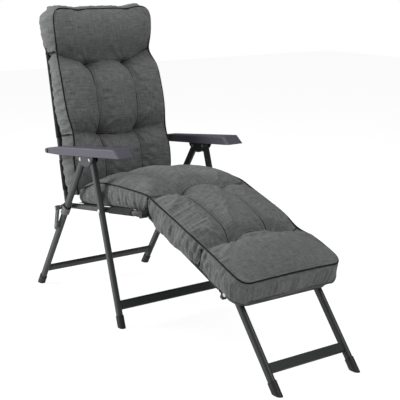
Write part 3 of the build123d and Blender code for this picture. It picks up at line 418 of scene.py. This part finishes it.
def eased(at, places, values):
    """Values between keys, eased by a cubic through them."""
    slope = np.gradient(values, places)
    index = np.clip(np.searchsorted(places, at) - 1, 0, len(places) - 2)
    width = places[index + 1] - places[index]
    t = np.clip((at - places[index]) / width, 0, 1)
    return ((2 * t ** 3 - 3 * t ** 2 + 1) * values[index] + (t ** 3 - 2 * t ** 2 + t) * width * slope[index]
            + (3 * t ** 2 - 2 * t ** 3) * values[index + 1] + (t ** 3 - t ** 2) * width * slope[index + 1])


def drawn_in(distance, depth, width):
    """The dent of a sewn line: a wide soft valley, with a sharp crease along its middle."""
    crease = np.exp(-np.sqrt(distance ** 2 + 0.001 ** 2) / (0.36 * width))
    return depth * (0.7 * np.exp(-(distance / (1.9 * width)) ** 2) + 0.5 * crease)


def pinched(x, v, centre_x, centre_v, depth, seed):
    """The dent of a pinch in the cloth: an exponential, with pleats that fan out from it as sines
    of the angle."""
    reach = np.hypot(np.abs(x) - centre_x, v - centre_v)
    angle = np.arctan2(v - centre_v, np.abs(x) - centre_x)
    pleats = np.sin(9 * angle + seed) + 0.7 * np.sin(14 * angle + 2 * seed)
    fan = (1 - np.exp(-reach / 0.012)) * np.exp(-reach / 0.050)
    return depth * np.exp(-reach / 0.020) + 0.0060 * pleats * fan


def quilt(keys, dents, sole, closed, seed):
    """A row of quilt as rings of points (x, along, height), one ring every few millimetres.
    The top rises from the piping as a rounded shoulder to the crown, less the depth that seams
    and pinches pull in. The sides stand between the piping and the lower edge, swell by a half
    sine and are gathered in upright folds. keys hold, at places along the row: half width, lower
    edge, piping height, crown height and the skirt's flare. A closed end is a wall that swells
    along a sine; closed gives its swell and the share of a half turn that the sine runs through."""
    place, *profile = (np.array(column) for column in zip(*keys))
    v = np.linspace(place[0], place[-1], int((place[-1] - place[0]) / row_step) + 1)
    half, low, edge, crown, flare = (eased(v, place, value)[:, None] for value in profile)
    v = v[:, None]
    share = np.linspace(-1, 1, top_columns)
    x_top = half * share
    rim = 1 - np.abs(share) ** 14
    pulled = dents(x_top, v + 0 * x_top)
    n_top = edge + (crown - edge) * (1 - np.abs(share) ** 2.2) ** 0.85 - pulled * rim
    gather = np.exp(-(1 - np.abs(share)) * half / 0.030) * rim
    n_top = n_top + 0.0016 * gather * ripple(v + 0.12 * x_top, 0.022, seed)
    n_top = n_top + 0.0008 * rim * ripple(v + 0.4 * x_top, 0.050, seed + 1) * ripple(x_top, 0.070, seed + 2)
    down = np.linspace(0, 1, side_columns + 2)[1:-1]
    pinch = dents(half * 0.995 + 0 * down, v + 0 * down)
    folds = np.sin(np.pi * down) ** 0.5 * (
        0.0034 * ripple(v + 0.10 * down * (edge - low), 0.026, seed + 3)
        + 0.0020 * ripple(v - 0.25 * down * (edge - low), 0.014, seed + 4))
    x_side = half + 0.008 * np.sin(np.pi * down) ** 0.8 + flare * down ** 0.7 + folds
    x_side = x_side - 0.30 * pinch * np.sin(np.pi * down)
    n_side = edge + (low - edge) * down
    base = np.linspace(1, -1, base_columns)
    lip = np.abs(base) ** 60
    n_base = low * lip + np.maximum(low, sole) * (1 - lip)
    x_base = (half + flare - 0.001) * base
    x = np.concatenate([x_top, x_side, x_base, -x_side[:, ::-1]], axis=1)
    n = np.concatenate([n_top, n_side, n_base, n_side[:, ::-1]], axis=1)
    along = np.repeat(v, x.shape[1], axis=1)
    if closed:
        close = np.linspace(0, 0.97, end_rings + 1)[1:, None]
        middle = 0.08 * edge[-1] + 0.92 * low[-1]
        swell, turn = closed
        wall = swell * np.sin(turn * np.pi * close ** 0.7) * (1 + 0.15 * ripple(x[-1], 0.018, seed + 6))
        x = np.concatenate([x, x[-1] * (1 - 0.05 * close ** 2)])
        n = np.concatenate([n, middle + (n[-1] - middle) * (1 - close)])
        along = np.concatenate([along, along[-1] + wall])
    return x, along, n


def flat_of(points, v):
    """Texture places in metres: round the ring by its mean length, and along the row."""
    step = np.linalg.norm(np.diff(points, axis=1, prepend=points[:, :1]), axis=2).mean(0)
    return np.cumsum(step)[None, :] + 0 * v, v


def stuffed(points, held, growth, cap):
    """Lets the cover find its own wrinkles: a cloth simulation with a little too much cloth,
    blown out by the filling's pressure, and held where it is sewn. Each point's move is then
    limited to cap * tanh(move / cap), so that the pad keeps its shape."""
    rows, columns = points.shape[:2]
    flat = np.zeros((rows, columns))
    draft = grid_mesh("draft", [(points, flat, flat, True, 0)], [])
    group = draft.vertex_groups.new(name="sewn")
    for level in (0.25, 0.5, 0.75, 1.0):
        chosen = np.flatnonzero(np.abs(held.ravel() - level) <= 0.125)
        group.add(chosen.tolist(), level, "REPLACE")
    cloth = draft.modifiers.new("cover", "CLOTH")
    cloth.settings.quality = 6
    cloth.settings.mass = 0.04
    cloth.settings.tension_stiffness = 20
    cloth.settings.compression_stiffness = 20
    cloth.settings.shear_stiffness = 4
    cloth.settings.bending_stiffness = 0.02
    cloth.settings.air_damping = 2
    cloth.settings.vertex_group_mass = "sewn"
    cloth.settings.shrink_min = -growth
    cloth.settings.use_pressure = True
    cloth.settings.uniform_pressure_force = 4
    cloth.settings.effector_weights.gravity = 0
    cloth.collision_settings.use_collision = False
    cloth.point_cache.frame_end = 20
    for step in range(1, 21):
        bpy.context.scene.frame_set(step)
    solved = draft.evaluated_get(bpy.context.evaluated_depsgraph_get())
    moved = np.empty(rows * columns * 3)
    solved.data.vertices.foreach_get("co", moved)
    bpy.context.scene.frame_set(1)
    bpy.data.objects.remove(draft)
    shift = moved.reshape(points.shape) - points
    size = np.linalg.norm(shift, axis=2, keepdims=True)
    return points + shift * cap * np.tanh(size / cap) / np.maximum(size, 1e-9)


def on_top(points, keys, x, v):
    """Places on the top of a row, between its points in proportion."""
    place, half = (np.array(column) for column in list(zip(*keys))[:2])
    count = int((place[-1] - place[0]) / row_step)
    row = np.clip((v - place[0]) / (place[-1] - place[0]) * count, 0, count - 0.001)
    column = np.clip((x / eased(v, place, half) + 1) / 2 * (top_columns - 1), 0, top_columns - 1.001)
    r, c = row.astype(int), column.astype(int)
    fr, fc = (row - r)[:, None], (column - c)[:, None]
    return ((points[r, c] * (1 - fc) + points[r, c + 1] * fc) * (1 - fr)
            + (points[r + 1, c] * (1 - fc) + points[r + 1, c + 1] * fc) * fr)


def cord_grid(path, radius, slot):
    """A round cord along a path: at each point a circle across the path's direction."""
    step = np.gradient(path, axis=0)
    step /= np.linalg.norm(step, axis=1, keepdims=True)
    first = np.cross(step, np.array([0.31, 0.42, 0.85]))
    first /= np.linalg.norm(first, axis=1, keepdims=True)
    second = np.cross(step, first)
    turn = np.linspace(0, 2 * np.pi, 9)[:-1]
    points = path[:, None, :] + radius * (
        np.cos(turn)[None, :, None] * first[:, None, :] + np.sin(turn)[None, :, None] * second[:, None, :])
    run = np.concatenate([[0], np.cumsum(np.linalg.norm(np.diff(path, axis=0), axis=1))])
    u, v = np.meshgrid(turn * radius, run)
    return points, u, v, True, slot


def piping_paths(points, closed):
    """The piping's line: up one top edge, round across a closed end, and down the other."""
    last = len(points) - (end_rings if closed else 0)
    left, right = points[:last, 0], points[:last, top_columns - 1]
    if not closed:
        return [left, right]
    path = np.concatenate([left, points[last - 1, 1:top_columns - 1], right[::-1]])
    for turn in range(10):
        path[1:-1] = (path[:-2] + 2 * path[1:-1] + path[2:]) / 4
    return [path]


def finish_pad(name, keys, dents, place, sole, closed, seams, boxing_seams, seed, covers):
    """Builds a part of the pad: its rings, its cloth, its piping, the seams sewn across its top
    and, at given rings, the gathered seams on its sides. The seams are black cords, partly dark
    thread and partly painted shade of the creases. The cover is held at the piping, at the
    base and where seams and pinches sink it."""
    x, v, n = quilt(keys, dents, sole, closed, seed)
    points = place(x, v, n)
    rows = len(points) - (end_rings if closed else 0)
    held = np.zeros(points.shape[:2])
    sunk = dents(x, v)
    held[:, :top_columns] = np.clip((sunk[:, :top_columns] - 0.008) / 0.012, 0, 1)
    held[:, (0, top_columns - 1)] = 1
    held[:, top_columns + side_columns:top_columns + side_columns + base_columns] = 1
    held[0] = held[-1] = 1
    if closed:
        held[rows:] = 0
        held[rows - 1, :top_columns] = held[-1] = 1
    points = stuffed(points, held, 0.04, 0.008)
    grids = [(points, *flat_of(points, v), True, 0)]
    grids += [cord_grid(path, piping_radius, 1) for path in piping_paths(points, closed)]
    # Black cords along the seams: partly the dark thread sewn in them, partly painted shade of the creases.
    grids += [cord_grid(on_top(points, keys, *line), seam_thread_and_shade_radius, 1) for line in seams]
    steps = np.arange(side_columns)
    for row in boxing_seams:
        jagged = row + (steps % 3 == 1)
        for sign, start in ((1, top_columns), (-1, top_columns + side_columns + base_columns)):
            path = points[jagged, start + steps] + sign * 0.0025 * across
            grids.append(cord_grid(path, boxing_seam_thread_and_shade_radius, 1))
    piece = grid_mesh(name, grids, [pad_cloth, piping_and_seam_shade_cloth])
    softer = piece.modifiers.new("finer_cloth", "SUBSURF")
    softer.levels = softer.render_levels = 1
    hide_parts(*covers)
    return piece


# Back of the pad: a broad headrest row whose skirt slips over the frame's top, and two rows of
# three columns below it. The cloth is pinched at the waist and at the small of the back.
column_place, waist_place, small_place = 0.085, 0.552, 0.272


def waist_line(x):
    """Where the waist seam lies: level between its pinches, rising in a curve to the sides."""
    beside = np.clip((np.abs(x) - column_place) / 0.137, 0, 1.2)
    between = np.clip(1 - (x / column_place) ** 2, 0, 1)
    return waist_place + np.where(np.abs(x) > column_place, 0.056 * beside ** 1.1, 0.010 * between)


def small_line(x):
    """Where the seam at the small of the back lies: a shallow smile between its pinches."""
    beside = np.clip((np.abs(x) - column_place) / 0.137, 0, 1.2)
    between = np.clip(1 - (x / column_place) ** 2, 0, 1)
    return small_place + 0.012 * np.where(np.abs(x) > column_place, beside, -between)


def column_line(v):
    """How far from the middle the column seams lie: they bow out a little between the pinches."""
    rise = np.clip((v - small_place) / (waist_place - small_place), 0, 1)
    return column_place + 0.006 * np.sin(np.pi * rise)


def back_dents(x, v):
    """Depth that the back's seams and pinches pull in."""
    dents = drawn_in(v - waist_line(x), 0.034, 0.018) + drawn_in(v - small_line(x), 0.030, 0.019)
    column = np.clip((0.570 - v) / 0.02, 0, 1)
    dents += column * drawn_in(np.abs(x) - column_line(v), 0.027, 0.017)
    dents += pinched(x, v, column_place, waist_place, 0.028, 1)
    return dents + pinched(x, v, column_place, small_place, 0.030, 2)


back_keys = [
    (0.034, 0.214, 0.0135, 0.094, 0.108, 0.0), (0.090, 0.221, 0.0135, 0.110, 0.138, 0.0),
    (0.170, 0.225, 0.0135, 0.118, 0.152, 0.0), (0.272, 0.215, 0.0135, 0.120, 0.152, 0.0),
    (0.360, 0.226, 0.0135, 0.114, 0.157, 0.0), (0.450, 0.228, 0.0135, 0.106, 0.153, 0.0),
    (0.530, 0.225, 0.0120, 0.093, 0.130, 0.002), (0.600, 0.213, -0.0080, 0.062, 0.106, 0.010),
    (0.650, 0.219, -0.0170, 0.077, 0.126, 0.011), (0.700, 0.223, -0.0220, 0.086, 0.128, 0.009),
    (0.740, 0.223, -0.0230, 0.089, 0.118, 0.008), (0.762, 0.222, -0.0220, 0.087, 0.102, 0.007),
    (0.772, 0.220, -0.0200, 0.083, 0.088, 0.006)]


def back_frame(x, v, n):
    """Rings on the back: x across, v up the tubes and n forward from the plane of their axes.
    The top corners are rounded in plan, and the top edge dips a little in the middle."""
    top = np.clip((v - 0.735) / 0.040, 0, 0.99)
    x = x * (1 - 0.15 * (1 - np.sqrt(1 - top ** 2)))
    v = v + 0.008 * top * ((np.abs(x) / 0.2) ** 2 - 0.6)
    v = v - 0.006 * top * np.exp(-((np.abs(x) - 0.11) / 0.03) ** 2)
    return (back_hinge + x[..., None] * across + v[..., None] * facing(back_lean + 90)
            + n[..., None] * facing(back_lean))


run = np.linspace(-1, 1, 81)
rise = np.linspace(0.040, waist_place, 90)
back_seams = [
    (run * 0.214, waist_line(run * 0.214)), (column_line(rise), rise), (-column_line(rise), rise),
    (run * column_place, small_line(run * column_place))]
pad_back = finish_pad(
    "pad_back", back_keys, back_dents, back_frame, 0.0135, (0.017, 0.62), back_seams, [48, 114], 11,
    ["cushion_back", "cushion_headrest"])
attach(pad_back, "back")
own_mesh(pad_back)


# Seat of the pad: one row of three columns. Its front edge is sewn to the leg rest's part above
# the hinge, and both are shaped to meet there at a bend.
def hinge_line(x):
    """Where the seam above the hinge lies: it arches back between its pinches."""
    return 0.010 * np.clip(1 - (x / column_place) ** 2, 0, 1)


def seat_dents(x, v):
    """Depth that the seat's seams and pinches pull in."""
    dents = drawn_in(v - hinge_line(x), 0.024, 0.020)
    dents += drawn_in(np.abs(x) - 0.083, 0.022, 0.019) * np.clip(1.2 - v / 0.4, 0.3, 1)
    return dents + pinched(x, v, column_place, 0.0, 0.022, 3)


mitre_lean, eased_over = -6.05, 0.110


def hinged_frame(straight, sign):
    """Rings that start at the hinge and run to the rear (sign 1) or to the front (sign -1). At
    the hinge they lean half-way between seat and leg rest, and ease to upright on their own."""
    def place(x, v, n):
        t = np.clip(v / eased_over, 0, 1)
        angle = np.radians(mitre_lean + (straight - mitre_lean) * t * t * (3 - 2 * t))
        lean = np.stack([0 * angle, np.sin(angle), np.cos(angle)], axis=-1)
        return (seat_hinge + x[..., None] * across + sign * v[..., None] * facing(straight + 90)
                + n[..., None] * lean)
    return place


seat_keys = [
    (0.000, 0.212, 0.0130, 0.064, 0.094, -0.004), (0.028, 0.216, -0.0060, 0.071, 0.108, -0.008),
    (0.060, 0.221, 0.0040, 0.077, 0.118, -0.006),
    (0.130, 0.226, 0.0135, 0.088, 0.131, 0.0), (0.220, 0.227, 0.0135, 0.096, 0.134, 0.0),
    (0.300, 0.227, 0.0135, 0.099, 0.130, 0.0), (0.400, 0.224, 0.0135, 0.082, 0.108, 0.0),
    (0.478, 0.218, 0.0135, 0.068, 0.092, 0.0)]
seat_seams = [(run * 0.205, 0.001 + hinge_line(run * 0.205))]
pad_seat = finish_pad(
    "pad_seat", seat_keys, seat_dents, hinged_frame(seat_lean, 1), 0.0135, 0, seat_seams, [0], 31,
    ["cushion_seat"])
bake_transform(pad_seat)


# Leg rest's part of the pad: a row of three columns, and one broad row at the end, pinched where
# the columns' seams meet the cross seam. Its sides hang a little beside the tubes.
cross_place = 0.325


def cross_line(x):
    """Where the cross seam lies: it arches back between its pinches."""
    between = np.clip(1 - (x / column_place) ** 2, 0, 1)
    return cross_place - 0.020 * between - 0.006 * np.clip((np.abs(x) - column_place) / 0.13, 0, 1)


def leg_dents(x, v):
    """Depth that the leg rest's seams and pinches pull in."""
    dents = drawn_in(v + hinge_line(x), 0.024, 0.020) + drawn_in(v - cross_line(x), 0.032, 0.019)
    dents += drawn_in(np.abs(x) - column_place, 0.025, 0.018) * np.clip((0.330 - v) / 0.02, 0, 1)
    dents += pinched(x, v, column_place, 0.0, 0.022, 3)
    return dents + pinched(x, v, column_place, 0.327, 0.024, 4)


leg_keys = [
    (0.000, 0.212, 0.0165, 0.064, 0.094, 0.0), (0.050, 0.213, -0.016, 0.064, 0.106, 0.0),
    (0.140, 0.213, -0.022, 0.069, 0.118, 0.0), (0.240, 0.212, -0.018, 0.072, 0.118, 0.0),
    (0.325, 0.205, -0.014, 0.069, 0.110, 0.0), (0.400, 0.213, -0.010, 0.079, 0.120, 0.0),
    (0.470, 0.215, -0.007, 0.081, 0.116, 0.0), (0.530, 0.213, -0.002, 0.080, 0.098, 0.0),
    (0.558, 0.209, 0.000, 0.077, 0.082, 0.0)]


def leg_frame(x, v, n):
    """Rings on the leg rest, with its two front corners rounded in plan."""
    end = np.clip((v - 0.522) / 0.038, 0, 0.99)
    return hinged_frame(rest_lean, -1)(x * (1 - 0.12 * (1 - np.sqrt(1 - end ** 2))), v, n)


down_seam = np.linspace(0.004, 0.325, 60)
leg_seams = [(run * 0.205, cross_line(run * 0.205)),
             *((side * column_place + 0 * down_seam, down_seam) for side in (1, -1))]
pad_leg = finish_pad(
    "pad_leg", leg_keys, leg_dents, leg_frame, -0.0015, (0.012, 0.8), leg_seams, [65], 51, ["cushion_leg"])
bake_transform(pad_leg)
